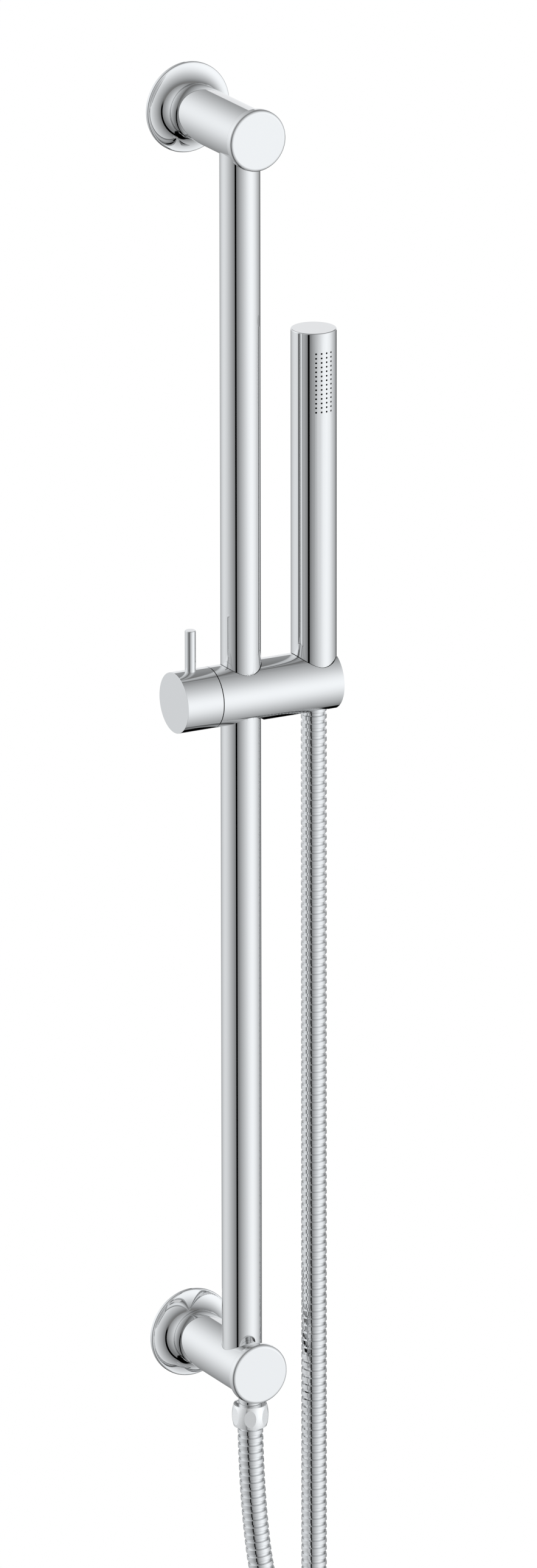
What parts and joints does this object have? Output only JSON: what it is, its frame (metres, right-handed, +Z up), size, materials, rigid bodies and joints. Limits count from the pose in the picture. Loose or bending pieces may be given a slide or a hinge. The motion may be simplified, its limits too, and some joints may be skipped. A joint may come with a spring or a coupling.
{
  "type": "shower slide rail",
  "caption": "Wall-mounted round shower rail with two flanged arms, a clamping slider, a stick hand shower and a metal hose fed by the lower arm.",
  "frame": {"origin": "on the wall, on the axis of the lower arm, where the inlet thread leaves the wall side of its collar", "axes": "+Z up along the rail; +Y into the wall, so the part stands out of it along -Y; +X towards the hand shower"},
  "size_m": [0.175, 0.106, 1.1061],
  "materials": {
    "chrome": "polished chrome plate",
    "hose_chrome": "polished chrome plate on folded strip",
    "brass": "machined brass",
    "steel": "stainless screw steel",
    "seal": "black sealing rubber",
    "bearing_plastic": "grey acetal",
    "valve_plastic": "natural white acetal",
    "silicone": "dark silicone"
  },
  "bodies": {
    "wall_set": {"lower_wall_flange": "chrome", "upper_wall_flange": "chrome", "lower_arm": "chrome", "upper_arm": "chrome", "lower_end_cap": "chrome", "upper_end_cap": "chrome", "lower_cap_ring": "seal", "upper_cap_ring": "seal", "inlet_spigot": "brass", "inlet_ring_rear": "seal", "inlet_ring_front": "seal", "wall_boss": "brass", "lower_grub_screw": "steel", "upper_grub_screw": "steel", "rail_tube": "chrome", "lower_rail_plug": "bearing_plastic", "upper_rail_plug": "bearing_plastic", "lower_rail_screw": "steel", "upper_rail_screw": "steel", "outlet_nipple": "chrome", "check_valve": "valve_plastic", "outlet_washer": "seal", "outlet_hose_tail": "brass", "hose_nut": "chrome", "hose": "hose_chrome"},
    "carrier": {"rail_bush": "bearing_plastic"},
    "slider": {"slider_body": "chrome", "socket_seat": "bearing_plastic"},
    "clamp_feed": {"clamp_shoe": "bearing_plastic"},
    "clamp": {"clamp_knob": "chrome", "clamp_spindle": "brass", "knob_pin": "chrome"},
    "hose_end": {"handset_hose_tail": "brass"},
    "handset": {"handset_tube": "chrome", "handset_lid": "chrome", "nozzle_pad": "silicone", "waterway": "valve_plastic", "strainer_washer": "seal", "cone_nut": "chrome"}
  },
  "joints": [
    {"name": "slider_slide", "type": "slide", "parent": "wall_set", "child": "carrier", "axis": [0, 0, 1], "range_m": [-0.345, 0.28], "deforming": ["hose"]},
    {"name": "slider_swivel", "type": "hinge", "parent": "carrier", "child": "slider", "pos_m": [0, -0.06, 0.386], "axis": [0, 0, 1], "range_deg": [-45, 45]},
    {"name": "clamp_feed", "type": "slide", "parent": "slider", "child": "clamp_feed", "axis": [1, 0, 0], "range_m": [-0.00032, 0]},
    {"name": "clamp_turn", "type": "hinge", "parent": "slider", "child": "clamp", "pos_m": [-0.03, -0.06, 0.386], "axis": [1, 0, 0], "range_deg": [0, 90]},
    {"name": "handset_lift", "type": "slide", "parent": "slider", "child": "hose_end", "axis": [0, 0, 1], "range_m": [0, 0.04]},
    {"name": "handset_turn", "type": "hinge", "parent": "hose_end", "child": "handset", "pos_m": [0.045, -0.06, 0.386], "axis": [0, 0, 1], "continuous": true}
  ],
  "couplings": [
    {"joint": "clamp_feed", "follows": "clamp_turn", "m_per_rad": -0.0001989}
  ]
}
